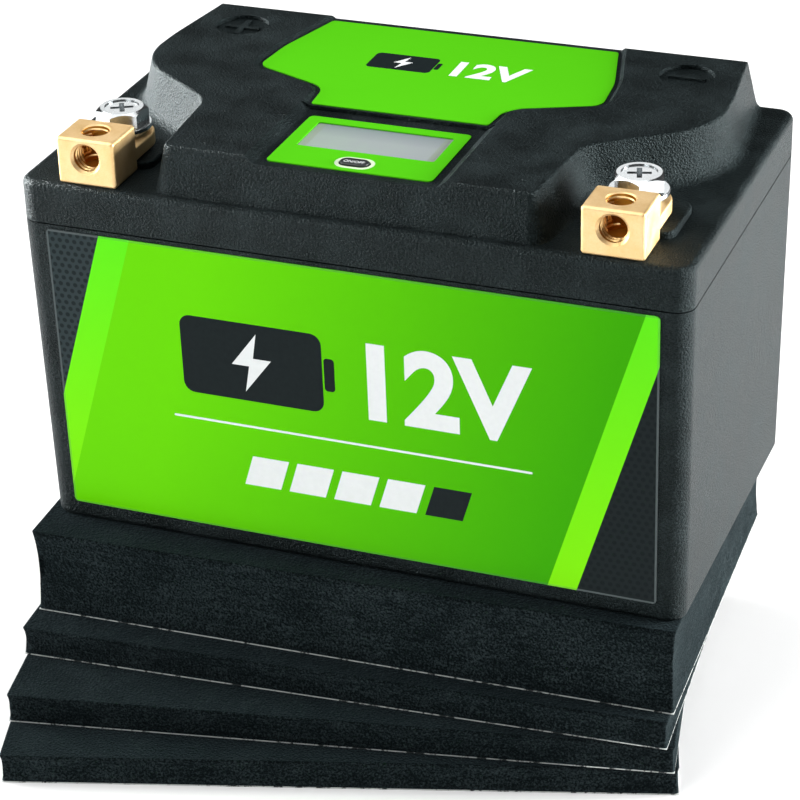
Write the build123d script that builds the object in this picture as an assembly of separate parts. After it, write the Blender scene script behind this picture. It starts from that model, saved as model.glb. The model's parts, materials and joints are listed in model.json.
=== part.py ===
from build123d import *
import math
import os

# A 12 V lithium motorcycle battery standing on its stack of loose foam spacers.
# Units are millimetres. X runs along the length, the terminals face -Y, and Z is up.
# The origin is on the surface the stack stands on, below the battery's vertical axis.

# --- Driving dimensions ------------------------------------------------------
# Heights of the battery's own pieces are measured up from the base of its case.
case_length = 150.0
case_width = 87.0
corner_radius = 4.0
seam_height = 74.5
draft_length = 0.5  # how far each end wall leans in at the base
draft_width = 1.5  # how far the front and back walls lean in at the base
wall = 2.2
floor_thickness = 2.5
base_edge_radius = 1.5

deck_height = 84.4
deck_edge_radius = 1.6
shoulder_height = 95.2
label_land_height = 94.4
display_land_height = 93.6
ceiling_height = 91.6
hump_back = 41.6
hump_side_slope = 0.24  # how far the side walls lean out for each millimetre down
hump_front_slope = 0.17
hump_edge_radius = 0.7
# Radii of the concave foot at the hump's inner bend, outer bend and back, with none at the front.
hump_foot_radii = (2.2, 2.8, 1.6)
# Heights above the deck at which the concave foot is sampled.
hump_foot_levels = (0.0, 0.12, 0.35, 0.7, 1.1, 1.7, 2.8)

seam_gap = 0.3
seam_gap_depth = 0.8
lip_depth = 3.0
lip_thickness = 1.4
lip_clearance = 0.1
lip_root = 2.0  # how far the lip runs up the inside of the lid

spacer_thicknesses = (21.0, 7.0, 7.0, 7.0)
liner_thickness = 0.2
# Each spacer's sideways shift, forward shift and turn in degrees, from the top one down.
spacer_places = (
    (-2.8, -4.7, 2.4),
    (-4.5, -10.7, 4.3),
    (-7.0, -18.9, 11.2),
    (-8.9, -25.3, 17.0),
)
stack_height = sum(spacer_thicknesses)

terminal_x = 58.3
terminal_y = -24.0
block_width = 13.5
block_front = -42.5
block_back = -31.4
block_top = 95.0
block_edge_radius = 0.75
tongue_bottom = 86.7
tongue_thickness = 3.0
tongue_edge_radius = 0.4
block_hole_radius = 3.0
front_rim_radius = 3.6
top_rim_radius = 3.25
block_hole_height = 90.6
block_hole_depth = 9.0
top_hole_y = -36.8
top_hole_depth = 8.0

platform_height = 1.6
platform_half_width = 9.3
platform_front = -31.2
platform_back = -14.6
platform_corner_radius = 3.0
platform_edge_radius = 0.5

insert_radius = 5.0
insert_bottom = 76.0
insert_bore_radius = 3.0
insert_bore_bottom = 78.6
insert_boss_wall = 2.5
stud_radius = 2.5
stud_bottom = 70.6
bolt_radius = 2.95
bolt_length = 12.0
bolt_head_height = 3.6
bolt_head_across_flats = 10.0
bolt_turns = {-1: 28.0, 1: 106.0}  # how far round the left and right bolts are tightened, in degrees
tongue_hole_radius = 3.3
washer_hole_radius = 3.2
flat_washer_radius = 6.4
flat_washer_thickness = 1.0
spring_washer_radius = 5.3
spring_washer_thickness = 1.2

display_half_length = 18.5
display_front = -38.0
display_back = -13.0
display_corner_radius = 1.2
display_board_top = 89.4
display_board_thickness = 1.2
display_board_half_length = 19.5
display_board_front = -37.2
display_board_back = -10.4
display_screws = [(x, y) for x in (-17.5, 17.5) for y in (-12.2, -35.6)]
display_plug_y = (-14.0, -10.8)
window_length = 31.0
window_width = 12.8
window_y = -22.2
window_margin = 0.5  # how much wider the lid's opening is than the screen, on each side
overlay_thickness = 0.25
label_length = 137.6
label_bottom = 4.5
label_top = 73.5
label_thickness = 0.2
label_corner_radius = 1.0
button_y = -34.0
button_length = 6.4
button_width = 3.2
button_proud = 0.45
button_clearance = 0.3

cell_radius = 13.1
cell_length = 65.0
cell_pitch = 27.0
cell_columns = 4
cell_rows = 2
cell_base = 3.8
busbar_thickness = 0.3
holder_height = 8.0
board_thickness = 1.6
board_half_length = 38.0
board_half_width = 27.0
board_posts = [(x, y) for x in (-27.0, 27.0) for y in (-24.5, 24.5)]
board_post_radius = 1.8
strap_thickness = 1.0
insulation_thickness = 0.25

# --- Worked-out heights ------------------------------------------------------
cell_top = cell_base + cell_length
tongue_top = tongue_bottom + tongue_thickness
spring_washer_top = tongue_top + spring_washer_thickness
flat_washer_top = spring_washer_top + flat_washer_thickness
bolt_head_top = flat_washer_top + bolt_head_height
deck_underside = deck_height - wall
board_base = cell_top + 2.4
board_top = board_base + board_thickness
display_board_base = display_board_top - display_board_thickness
wall_angle = math.degrees(math.atan(draft_width / seam_height))


# --- Shared shapes -----------------------------------------------------------
def block(x_range, y_range, z_range):
    """A plain box between two corners."""
    size = [high - low for low, high in (x_range, y_range, z_range)]
    middle = [(high + low) / 2 for low, high in (x_range, y_range, z_range)]
    return Pos(*middle) * Box(*size)


def post(x, y, bottom, top, radius):
    """An upright round bar."""
    return Pos(x, y, (bottom + top) / 2) * Cylinder(radius, top - bottom)


def upright(outline, bottom, top):
    """A flat outline raised from one height to another."""
    return Pos(0, 0, bottom) * extrude(outline, top - bottom)


def upright_tapered(outline, bottom, top, taper):
    """A flat outline raised from one height to another, with its sides leaning in by an angle."""
    return Pos(0, 0, bottom) * extrude(outline, top - bottom, taper=taper)


def mirrored_outline(right_side):
    """A closed face from the right-hand points and radii, repeated on the left."""
    points = [(x, y) for x, y, radius in right_side]
    left = [(-x, y) for x, y in reversed(points)]
    face = make_face(Polyline(*points, *left, close=True))
    for x, y, radius in right_side:
        if radius > 0:
            corners = [v for v in face.vertices() if math.dist((abs(v.X), v.Y), (x, y)) < 0.01]
            face = fillet(corners, radius)
    return face


def case_section(height, inset):
    """The case's rounded outline at one height, moved in by an even inset."""
    lean = 1 - height / seam_height
    length = case_length - 2 * (inset + lean * draft_length)
    width = case_width - 2 * (inset + lean * draft_width)
    return Pos(0, 0, height) * RectangleRounded(length, width, corner_radius - inset)


def lid_outline(inset):
    return RectangleRounded(case_length - 2 * inset, case_width - 2 * inset, corner_radius - inset)


def button_outline(grow):
    """The on/off button's pill shape, grown evenly."""
    return Pos(0, button_y, 0) * SlotOverall(button_length + 2 * grow, button_width + 2 * grow)


# --- Case --------------------------------------------------------------------
def make_case():
    outside = loft([case_section(0, 0), case_section(seam_height, 0)], ruled=True)
    outside = fillet(outside.faces().sort_by(Axis.Z)[0].edges(), base_edge_radius)
    inside = loft([case_section(floor_thickness, wall), case_section(seam_height, wall)], ruled=True)
    return outside - inside


# --- Lid ---------------------------------------------------------------------
def foot_flare(radius, height):
    """How far a concave foot reaches out of its wall at a height above the deck."""
    if height >= radius:
        return 0.0
    return radius - math.sqrt(radius**2 - (radius - height) ** 2)


def hump_outline(height, radii):
    """The outline of the lid's raised middle at a height above the deck, with a foot of these radii."""
    below_top = shoulder_height - deck_height - height
    side = below_top * hump_side_slope
    front = below_top * hump_front_slope
    inner, outer, back = [side + foot_flare(radius, height) for radius in radii]
    return mirrored_outline(
        [
            (41.0 + side, -39.9 - front, 1.4 + side),
            (43.1 + 0.96 * inner, -13.9 - 0.54 * inner, 9.1 - inner),
            (67.0 + 1.02 * outer, 3.5 - 0.51 * outer, 19.4 + outer),
            (66.4 + back, 20.0, 60.0),
            (63.8 + back, hump_back, 0),
        ]
    )


def hump_solid():
    """The raised middle, with a concave foot at its sides and rounded top edges."""
    levels = [*hump_foot_levels, shoulder_height - deck_height]
    sections = [Pos(0, 0, deck_height + level) * hump_outline(level, hump_foot_radii) for level in levels]
    solid = loft(sections, ruled=True)
    return fillet(solid.faces().sort_by(Axis.Z)[-1].edges(), hump_edge_radius)


def hump_cavity():
    """The hollow under the raised middle, one wall thickness inside its walls."""
    taper = math.degrees(math.atan(hump_side_slope))
    drop = (deck_height - deck_underside) * hump_side_slope
    foot = offset(hump_outline(0, (0, 0, 0)), drop - wall)
    return upright_tapered(foot, deck_underside, ceiling_height, taper)


def top_label_outline(grow):
    outline = mirrored_outline(
        [
            (20.4, -8.4, 0.8),
            (21.2, 1.1, 6.0),
            (40.2, 9.0, 3.5),
            (39.2, 21.5, 30.0),
            (34.6, 39.6, 1.0),
        ]
    )
    return offset(outline, grow) if grow else outline


def label_recess():
    """The sunk land of the top label, with bevelled sides, open at the back."""
    land_margin = 0.8
    back_opening = Rectangle(69.6, 8)
    side_slope_angle = 50
    land = top_label_outline(land_margin) + Pos(0, hump_back, 0) * back_opening
    return upright_tapered(land, label_land_height, shoulder_height + 0.01, -side_slope_angle)


def display_channel():
    """The lower land of the display, with sloping sides, open at the front."""
    half_floor = 20.2
    half_top = 22.5
    channel_back = -9.3
    channel_length = 40.0
    section = Plane.XZ * make_face(
        Polyline(
            (-half_floor, display_land_height),
            (half_floor, display_land_height),
            (half_top, shoulder_height + 0.1),
            (-half_top, shoulder_height + 0.1),
            close=True,
        )
    )
    return Pos(0, channel_back, 0) * extrude(section, channel_length)


def polarity_marks():
    """A round recess at each back corner of the hump, with a raised plus or minus."""
    recess_radius = 6.15
    recess_floor = shoulder_height - 1.0
    mark_height = 0.6
    mark_x = 53.3
    mark_y = 29.5
    arm = 8.4
    width = 1.2
    recesses = Part()
    marks = Part()
    for side in (-1, 1):
        recesses += post(side * mark_x, mark_y, recess_floor, shoulder_height + 1, recess_radius)
        bars = Rectangle(arm, width)
        if side < 0:
            bars += Rectangle(width, arm)
        marks += Pos(side * mark_x, mark_y, recess_floor) * extrude(bars, mark_height)
    return recesses, marks


def lid_lip():
    """The ring that drops inside the case's rim, joined to the lid's wall above the seam."""
    inset = wall + lip_clearance
    root_overlap = 0.5
    ring = lid_outline(inset) - lid_outline(inset + lip_thickness)
    root = lid_outline(wall - root_overlap) - lid_outline(inset + lip_thickness)
    root_top = seam_height + lip_root
    return upright(ring, seam_height - lip_depth, root_top) + upright(root, seam_height, root_top)


def terminal_platform(side):
    """The raised pad under one terminal, with the boss that holds the insert below it."""
    x = side * terminal_x
    middle = (platform_front + platform_back) / 2
    length = platform_back - platform_front
    outline = Pos(x, middle, 0) * RectangleRounded(2 * platform_half_width, length, platform_corner_radius)
    pad = upright(outline, deck_height - 1, deck_height + platform_height)
    pad = fillet(pad.faces().sort_by(Axis.Z)[-1].edges(), platform_edge_radius)
    boss_bottom = insert_bottom + 1.5
    return pad + post(x, terminal_y, boss_bottom, deck_height, insert_radius + insert_boss_wall)


def display_openings():
    """The screen's window and the button's slot."""
    window = Rectangle(window_length + 2 * window_margin, window_width + 2 * window_margin)
    openings = Pos(0, window_y, 0) * window + button_outline(button_clearance)
    return upright(openings, ceiling_height - 1, display_land_height)


def make_lid():
    skirt = upright(lid_outline(0), seam_height, deck_height)
    skirt = fillet(skirt.faces().sort_by(Axis.Z)[-1].edges(), deck_edge_radius)
    hump = hump_solid()
    hump -= label_recess()
    hump -= display_channel()
    recesses, marks = polarity_marks()
    hump = hump - recesses + marks
    lid = skirt + hump
    lid -= upright(lid_outline(wall), seam_height, deck_underside)
    lid -= hump_cavity()

    gap_ring = lid_outline(0) - lid_outline(seam_gap_depth)
    lid -= upright(gap_ring, seam_height, seam_height + seam_gap)
    lid += lid_lip()
    platform_top = deck_height + platform_height
    for side in (-1, 1):
        lid += terminal_platform(side)
        lid -= post(side * terminal_x, terminal_y, insert_bottom, platform_top, insert_radius)
    lid -= display_openings()
    boss_radius = 1.8
    pilot_radius = 0.8
    for x, y in display_screws:
        lid += post(x, y, display_board_top, ceiling_height + 0.5, boss_radius)
        lid -= post(x, y, display_board_top, ceiling_height, pilot_radius)
    return lid


# --- Labels and display ------------------------------------------------------
def make_front_label():
    """A thin sheet on the leaning front wall."""
    middle = (label_bottom + label_top) / 2
    front = -case_width / 2 + draft_width * (1 - middle / seam_height)
    lean = math.radians(wall_angle)
    outward = (0, -math.cos(lean), -math.sin(lean))
    face = Plane(origin=(0, front, middle), x_dir=(1, 0, 0), z_dir=outward)
    outline = RectangleRounded(label_length, label_top - label_bottom, label_corner_radius)
    return extrude(face * outline, label_thickness)


def make_top_label():
    return upright(top_label_outline(0), label_land_height, label_land_height + label_thickness)


def make_display_overlay():
    """The printed frame round the display, open over the screen and the button."""
    middle = (display_front + display_back) / 2
    width = display_back - display_front
    window_corner_radius = 0.6
    frame = Pos(0, middle, 0) * RectangleRounded(2 * display_half_length, width, display_corner_radius)
    frame -= Pos(0, window_y, 0) * RectangleRounded(window_length, window_width, window_corner_radius)
    frame -= button_outline(button_clearance)
    return upright(frame, display_land_height, display_land_height + overlay_thickness)


def make_lcd_module():
    """The screen's glass, standing up into the window from a wider carrier."""
    carrier_half_length = 18.0
    carrier_half_width = 8.6
    carrier_top = ceiling_height - 0.3
    notch_start = 15.4
    notch_front = -14.6
    glass_margin = 0.3
    glass_top = display_land_height - 0.05
    carrier_x = (-carrier_half_length, carrier_half_length)
    carrier_y = (window_y - carrier_half_width, window_y + carrier_half_width)
    carrier = block(carrier_x, carrier_y, (display_board_top, carrier_top))
    for side in (-1, 1):
        notch_x = sorted((side * notch_start, side * (carrier_half_length + 1)))
        carrier -= block(notch_x, (notch_front, carrier_y[1] + 1), (display_board_top, carrier_top))
    half_length = window_length / 2 + glass_margin
    half_width = window_width / 2 + glass_margin
    glass_y = (window_y - half_width, window_y + half_width)
    glass = block((-half_length, half_length), glass_y, (carrier_top, glass_top))
    return carrier + glass


def make_display_board():
    board_x = (-display_board_half_length, display_board_half_length)
    board_y = (display_board_front, display_board_back)
    screw_hole_radius = 0.9
    board = block(board_x, board_y, (display_board_base, display_board_top))
    for x, y in display_screws:
        board -= post(x, y, display_board_base, display_board_top, screw_hole_radius)
    return board


def make_display_screws():
    """Four small screws that hold the display board up against the lid."""
    head_height = 1.0
    head_radius = 1.5
    shank_radius = 0.75
    head_bottom = display_board_base - head_height
    screws = []
    for x, y in display_screws:
        head = post(x, y, head_bottom, display_board_base, head_radius)
        head -= Pos(x, y, head_bottom) * Box(1.8, 0.4, 0.8)
        screws.append(head + post(x, y, display_board_base, ceiling_height - 0.2, shank_radius))
    return Compound(screws)


def make_on_off_button():
    """A pill-shaped cap with a flange that keeps it under the lid."""
    top = display_land_height + overlay_thickness + button_proud
    edge_radius = 0.25
    flange_overhang = 0.7
    flange_top = ceiling_height - 0.1
    flange_bottom = flange_top - 0.8
    pill = upright(button_outline(0), flange_top, top)
    pill = fillet(pill.faces().sort_by(Axis.Z)[-1].edges(), edge_radius)
    return pill + upright(button_outline(flange_overhang), flange_bottom, flange_top)


def make_tact_switch():
    half_length = 3.0
    half_width = 1.8
    housing_top = display_board_top + 0.9
    well_radius = 1.0
    housing_y = (button_y - half_width, button_y + half_width)
    housing = block((-half_length, half_length), housing_y, (display_board_top, housing_top))
    return housing - post(0, button_y, display_board_top, housing_top, well_radius)


def make_switch_plunger():
    plunger_radius = 0.9
    return post(0, button_y, display_board_top + 0.4, ceiling_height - 0.9, plunger_radius)


def make_display_cable():
    """A short flat cable with a plug at each end, from the display down to the balance board."""
    half_length = 5.0
    lower_plug_top = board_top + 3.0
    upper_plug_bottom = display_board_base - 1.6
    plug_x = (-half_length, half_length)
    lower_plug = block(plug_x, display_plug_y, (board_top, lower_plug_top))
    upper_plug = block(plug_x, display_plug_y, (upper_plug_bottom, display_board_base))
    ribbon = block((-4.0, 4.0), (-12.7, -12.1), (lower_plug_top, upper_plug_bottom))
    return lower_plug + ribbon + upper_plug


# --- Terminals ---------------------------------------------------------------
def make_terminal_block(side):
    """A brass block with a threaded hole in its front and top, and a tongue under the bolt."""
    x = side * terminal_x
    half = block_width / 2
    body = block((x - half, x + half), (block_front, block_back), (deck_height, block_top))
    body = fillet(body.edges(), block_edge_radius)
    tongue_start = block_back - 1
    tongue = Pos(x, terminal_y, 0) * Circle(half)
    tongue += Pos(x, (tongue_start + terminal_y) / 2, 0) * Rectangle(block_width, terminal_y - tongue_start)
    tongue = upright(tongue, tongue_bottom, tongue_top)
    round_end = [e for e in tongue.edges() if e.geom_type == GeomType.CIRCLE]
    body += fillet(round_end, tongue_edge_radius)
    body -= post(x, terminal_y, tongue_bottom, tongue_top, tongue_hole_radius)

    radius = block_hole_radius
    front_bevel = front_rim_radius - radius
    front_hole = Pos(0, 0, block_hole_depth / 2) * Cylinder(radius, block_hole_depth)
    front_hole += Pos(0, 0, front_bevel / 2) * Cone(front_rim_radius, radius, front_bevel)
    body -= Pos(x, block_front, block_hole_height) * Rot(-90, 0, 0) * front_hole
    top_bevel = top_rim_radius - radius
    body -= post(x, top_hole_y, block_top - top_hole_depth, block_top, radius)
    body -= Pos(x, top_hole_y, block_top - top_bevel / 2) * Cone(radius, top_rim_radius, top_bevel)
    return body


def make_insert(side):
    """A brass bush moulded into the lid, with a stud below for the strap."""
    x = side * terminal_x
    bush = post(x, terminal_y, insert_bottom, tongue_bottom, insert_radius)
    bush += post(x, terminal_y, stud_bottom, insert_bottom, stud_radius)
    return bush - post(x, terminal_y, insert_bore_bottom, tongue_bottom, insert_bore_radius)


def make_bolt(side):
    """A hexagon bolt with a dished head and a cross recess."""
    half_flats = bolt_head_across_flats / 2
    bevel_spread = 4.5
    top_inset = 0.3
    dish_depth = 0.3
    dish_rim = 1.2
    cross_length = 5.0
    cross_width = 1.1
    cross_depth = 2.2
    hexagon = RegularPolygon(half_flats, 6, major_radius=False)
    head = upright(hexagon, flat_washer_top, bolt_head_top)
    top_radius = half_flats - top_inset
    bevel = Cone(top_radius + bevel_spread, top_radius, bolt_head_height)
    head &= Pos(0, 0, (flat_washer_top + bolt_head_top) / 2) * bevel
    head -= post(0, 0, bolt_head_top - dish_depth, bolt_head_top, half_flats - dish_rim)
    cross = Rectangle(cross_length, cross_width) + Rectangle(cross_width, cross_length)
    head -= upright(cross, bolt_head_top - cross_depth, bolt_head_top)
    bolt = head + post(0, 0, flat_washer_top - bolt_length, flat_washer_top, bolt_radius)
    return Pos(side * terminal_x, terminal_y, 0) * Rot(0, 0, bolt_turns[side]) * bolt


def make_flat_washer(side):
    x = side * terminal_x
    edge_radius = 0.2
    ring = post(x, terminal_y, spring_washer_top, flat_washer_top, flat_washer_radius)
    ring = fillet([e for e in ring.edges() if e.geom_type == GeomType.CIRCLE], edge_radius)
    return ring - post(x, terminal_y, spring_washer_top, flat_washer_top, washer_hole_radius)


def make_spring_washer(side):
    """A split ring with a slanting cut."""
    x = side * terminal_x
    cut_angle = 25
    cut_width = 0.8
    ring = post(x, terminal_y, tongue_top, spring_washer_top, spring_washer_radius)
    ring -= post(x, terminal_y, tongue_top, spring_washer_top, washer_hole_radius)
    ring_middle = (washer_hole_radius + spring_washer_radius) / 2
    cut = Pos(x + side * ring_middle, terminal_y, (tongue_top + spring_washer_top) / 2)
    return ring - cut * Rot(cut_angle, 0, 0) * Box(4, cut_width, 4)


def make_strap(side):
    """A copper strap from the stud down to the end busbar."""
    half_width = 4.0
    inner_end = 45.0
    bend = 50.0
    ring_radius = 5.5
    x = side * terminal_x
    top = insert_bottom
    foot = cell_top + busbar_thickness
    strap_y = (terminal_y - half_width, terminal_y + half_width)
    strap = post(x, terminal_y, top - strap_thickness, top, ring_radius)
    strap += block(sorted((side * (bend - strap_thickness), x)), strap_y, (top - strap_thickness, top))
    strap += block(sorted((side * (bend - strap_thickness), side * bend)), strap_y, (foot, top))
    strap += block(sorted((side * inner_end, side * bend)), strap_y, (foot, foot + strap_thickness))
    return strap - post(x, terminal_y, top - strap_thickness, top, stud_radius + 0.2)


def make_strap_nut(side):
    half_flats = 4.0
    nut_height = 4.0
    thread_clearance = 0.05
    top = insert_bottom - strap_thickness
    hexagon = Pos(side * terminal_x, terminal_y, 0) * RegularPolygon(half_flats, 6, major_radius=False)
    nut = upright(hexagon, top - nut_height, top)
    return nut - post(side * terminal_x, terminal_y, top - nut_height, top, stud_radius + thread_clearance)


# --- Cell pack ---------------------------------------------------------------
def cell_centres():
    """The column and centre of each cell, the front one of each column first."""
    for column in range(cell_columns):
        for row in range(cell_rows):
            x = (column - (cell_columns - 1) / 2) * cell_pitch
            y = (row - (cell_rows - 1) / 2) * cell_pitch
            yield column, x, y


def make_cell(column, x, y):
    """A cylindrical cell, crimped near its positive end, which alternates by column."""
    edge_radius = 0.8
    crimp_offset = 3.5
    crimp_height = 1.0
    crimp_depth = 0.5
    cell = post(x, y, cell_base, cell_top, cell_radius)
    cell = fillet([e for e in cell.edges() if e.geom_type == GeomType.CIRCLE], edge_radius)
    crimp = cell_top - crimp_offset if column % 2 == 0 else cell_base + crimp_offset
    groove = Cylinder(cell_radius + 1, crimp_height) - Cylinder(cell_radius - crimp_depth, crimp_height)
    return cell - Pos(x, y, crimp) * groove


def make_cell_holder(bottom, with_posts):
    """A tray with a round pocket for each cell, and posts for the balance board on the upper one."""
    rim = 1.5
    outer_radius = 13.0
    pocket_clearance = 0.05
    length = cell_columns * cell_pitch + 2 * rim
    width = cell_rows * cell_pitch + 2 * rim
    top = bottom + holder_height
    holder = upright(RectangleRounded(length, width, outer_radius), bottom, top)
    for _, x, y in cell_centres():
        holder -= post(x, y, bottom, top, cell_radius + pocket_clearance)
    if with_posts:
        for x, y in board_posts:
            holder += post(x, y, bottom + 2, board_base, board_post_radius)
            holder -= post(x, y, bottom + 4, board_base, board_post_radius / 2)
    return holder


def make_busbar(first_column, last_column, bottom):
    """A nickel plate across one or two columns of cells, with a weld slot over each cell."""
    overhang = 9.0
    half_width = 25.0
    slot_width = 1.0
    slot_length = 9.0
    left = (first_column - (cell_columns - 1) / 2) * cell_pitch - overhang
    right = (last_column - (cell_columns - 1) / 2) * cell_pitch + overhang
    plate = block((left, right), (-half_width, half_width), (bottom, bottom + busbar_thickness))
    for column, x, y in cell_centres():
        if first_column <= column <= last_column:
            plate -= Pos(x, y, bottom) * Box(slot_width, slot_length, 1.0)
    return plate


def make_balance_board():
    screw_hole_radius = 1.1
    board_x = (-board_half_length, board_half_length)
    board_y = (-board_half_width, board_half_width)
    board = block(board_x, board_y, (board_base, board_top))
    for x, y in board_posts:
        board -= post(x, y, board_base, board_top, screw_hole_radius)
    return board


def on_board(x, y, length, width, height):
    """One rectangular component standing on the balance board."""
    x_range = (x - length / 2, x + length / 2)
    y_range = (y - width / 2, y + width / 2)
    return block(x_range, y_range, (board_top, board_top + height))


def make_board_components():
    """The balancing resistors, their controller and the power switches."""
    resistor_pitch = 16.0
    parts = [on_board(0, 1.5, 12.0, 7.0, 1.8)]
    for column in range(cell_columns):
        x = (column - (cell_columns - 1) / 2) * resistor_pitch
        parts.append(on_board(x, 11.0, 6.4, 6.0, 2.4))
    for x in (-18.0, 18.0):
        parts.append(on_board(x, -4.0, 10.0, 8.0, 3.0))
    return Compound(parts)


def make_board_screws():
    """Four screws that hold the balance board down on the upper holder's posts."""
    head_radius = 2.0
    head_top = board_top + 1.4
    shank_radius = 0.85
    shank_length = 6.0
    screws = []
    for x, y in board_posts:
        head = post(x, y, board_top, head_top, head_radius)
        head -= Pos(x, y, head_top) * Box(2.6, 0.5, 1.2)
        screws.append(head + post(x, y, board_top - shank_length, board_top, shank_radius))
    return Compound(screws)


def make_balance_ribbon():
    """Two thin strips that carry the lower links' voltages up to the balance board."""
    thickness = 0.3
    half_width = 3.0
    front = -29.0
    lower_end = -20.0
    upper_end = -24.0
    low = cell_base - busbar_thickness - thickness
    high = board_top + thickness
    strips = []
    for x in (-cell_pitch / 2, cell_pitch / 2):
        strip_x = (x - half_width, x + half_width)
        strip = block(strip_x, (front - thickness, lower_end), (low, low + thickness))
        strip += block(strip_x, (front - thickness, front), (low, high))
        strip += block(strip_x, (front - thickness, upper_end), (board_top, high))
        strips.append(strip)
    return Compound(strips)


def make_top_insulation():
    bottom = cell_top + busbar_thickness
    post_hole_radius = board_post_radius + 0.4
    sheet = Rectangle(88.0, 52.0)
    for x, y in board_posts:
        sheet -= Pos(x, y, 0) * Circle(post_hole_radius)
    return upright(sheet, bottom, bottom + insulation_thickness)


def make_bottom_insulation():
    pad_thickness = 0.7
    return upright(RectangleRounded(114, 58, 3), floor_thickness, floor_thickness + pad_thickness)


def make_long_cushion(side):
    """The foam between the cells and the front or back wall."""
    half_length = 70.0
    cushion_top = 66.0
    y_range = sorted((side * 29.6, side * 39.4))
    return block((-half_length, half_length), y_range, (floor_thickness, cushion_top))


def make_end_cushion(side):
    """The foam between the cells and one end wall."""
    half_width = 29.2
    cushion_top = 62.0
    x_range = sorted((side * 57.5, side * 71.6))
    return block(x_range, (-half_width, half_width), (floor_thickness, cushion_top))


# --- Foam spacers ------------------------------------------------------------
def spacer_levels():
    """Bottom and top of each spacer, from the top one down, above the standing surface."""
    top = stack_height
    for thickness in spacer_thicknesses:
        yield top - thickness, top
        top -= thickness


def make_spacer(index):
    """A foam slab and the paper liner over its adhesive underside."""
    bottom, top = list(spacer_levels())[index]
    shift_x, shift_y, turn = spacer_places[index]
    outline = Rectangle(case_length, case_width)
    place = Pos(shift_x, shift_y, 0) * Rot(0, 0, turn)
    foam = place * upright(outline, bottom + liner_thickness, top)
    liner = place * upright(outline, bottom, bottom + liner_thickness)
    return foam, liner


# --- Assembly ----------------------------------------------------------------
def battery_pieces():
    """Every piece of the battery, measured up from the base of its case."""
    pieces = {
        "case": make_case(),
        "lid": make_lid(),
        "front_label": make_front_label(),
        "top_label": make_top_label(),
        "display_overlay": make_display_overlay(),
        "lcd_module": make_lcd_module(),
        "display_board": make_display_board(),
        "display_board_screws": make_display_screws(),
        "on_off_button": make_on_off_button(),
        "tact_switch": make_tact_switch(),
        "switch_plunger": make_switch_plunger(),
        "display_cable": make_display_cable(),
        "upper_cell_holder": make_cell_holder(cell_top - holder_height, True),
        "lower_cell_holder": make_cell_holder(cell_base, False),
        "positive_busbar": make_busbar(0, 0, cell_top),
        "upper_link": make_busbar(1, 2, cell_top),
        "negative_busbar": make_busbar(3, 3, cell_top),
        "lower_left_link": make_busbar(0, 1, cell_base - busbar_thickness),
        "lower_right_link": make_busbar(2, 3, cell_base - busbar_thickness),
        "balance_board": make_balance_board(),
        "board_components": make_board_components(),
        "board_screws": make_board_screws(),
        "balance_ribbon": make_balance_ribbon(),
        "top_insulation": make_top_insulation(),
        "bottom_insulation": make_bottom_insulation(),
        "front_cushion": make_long_cushion(-1),
        "back_cushion": make_long_cushion(1),
        "left_cushion": make_end_cushion(-1),
        "right_cushion": make_end_cushion(1),
    }
    for number, (column, x, y) in enumerate(cell_centres(), start=1):
        pieces[f"cell_{number}"] = make_cell(column, x, y)
    for pole, side in (("positive", -1), ("negative", 1)):
        pieces[f"{pole}_terminal_block"] = make_terminal_block(side)
        pieces[f"{pole}_insert"] = make_insert(side)
        pieces[f"{pole}_bolt"] = make_bolt(side)
        pieces[f"{pole}_flat_washer"] = make_flat_washer(side)
        pieces[f"{pole}_spring_washer"] = make_spring_washer(side)
        pieces[f"{pole}_strap"] = make_strap(side)
        pieces[f"{pole}_strap_nut"] = make_strap_nut(side)
    return pieces


def all_pieces():
    """Every piece, placed above the surface that the stack stands on."""
    pieces = {name: Pos(0, 0, stack_height) * shape for name, shape in battery_pieces().items()}
    for index in range(len(spacer_thicknesses)):
        foam, liner = make_spacer(index)
        pieces[f"foam_spacer_{index + 1}"] = foam
        pieces[f"spacer_liner_{index + 1}"] = liner
    return pieces


os.makedirs("parts", exist_ok=True)
for name, shape in all_pieces().items():
    export_step(shape, f"parts/{name}.step")
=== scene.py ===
import json
import math

import bmesh
import bpy
from mathutils import Matrix, Vector, noise


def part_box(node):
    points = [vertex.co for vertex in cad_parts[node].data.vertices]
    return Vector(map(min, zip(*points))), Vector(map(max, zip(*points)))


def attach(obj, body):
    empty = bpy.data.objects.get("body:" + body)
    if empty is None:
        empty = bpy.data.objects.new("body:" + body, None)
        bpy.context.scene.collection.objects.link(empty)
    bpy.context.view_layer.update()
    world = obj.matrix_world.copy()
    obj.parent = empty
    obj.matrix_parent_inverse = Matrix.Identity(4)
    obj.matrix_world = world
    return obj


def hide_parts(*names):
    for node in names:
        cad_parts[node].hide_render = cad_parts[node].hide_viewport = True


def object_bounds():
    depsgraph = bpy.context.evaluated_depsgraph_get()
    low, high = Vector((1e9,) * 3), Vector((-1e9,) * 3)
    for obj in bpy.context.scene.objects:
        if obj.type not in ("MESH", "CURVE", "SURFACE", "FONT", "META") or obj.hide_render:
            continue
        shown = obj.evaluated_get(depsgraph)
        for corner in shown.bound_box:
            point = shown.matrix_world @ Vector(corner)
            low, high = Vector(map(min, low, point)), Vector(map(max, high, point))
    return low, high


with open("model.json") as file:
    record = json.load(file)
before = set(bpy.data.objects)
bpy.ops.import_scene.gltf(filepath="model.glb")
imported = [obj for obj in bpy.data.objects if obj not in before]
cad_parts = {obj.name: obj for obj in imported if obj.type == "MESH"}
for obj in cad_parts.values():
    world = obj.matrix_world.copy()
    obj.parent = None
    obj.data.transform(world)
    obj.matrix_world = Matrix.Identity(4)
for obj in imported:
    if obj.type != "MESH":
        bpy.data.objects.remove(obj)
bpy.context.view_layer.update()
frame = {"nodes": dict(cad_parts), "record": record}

MM = 0.001
nodes = frame["nodes"]
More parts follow.
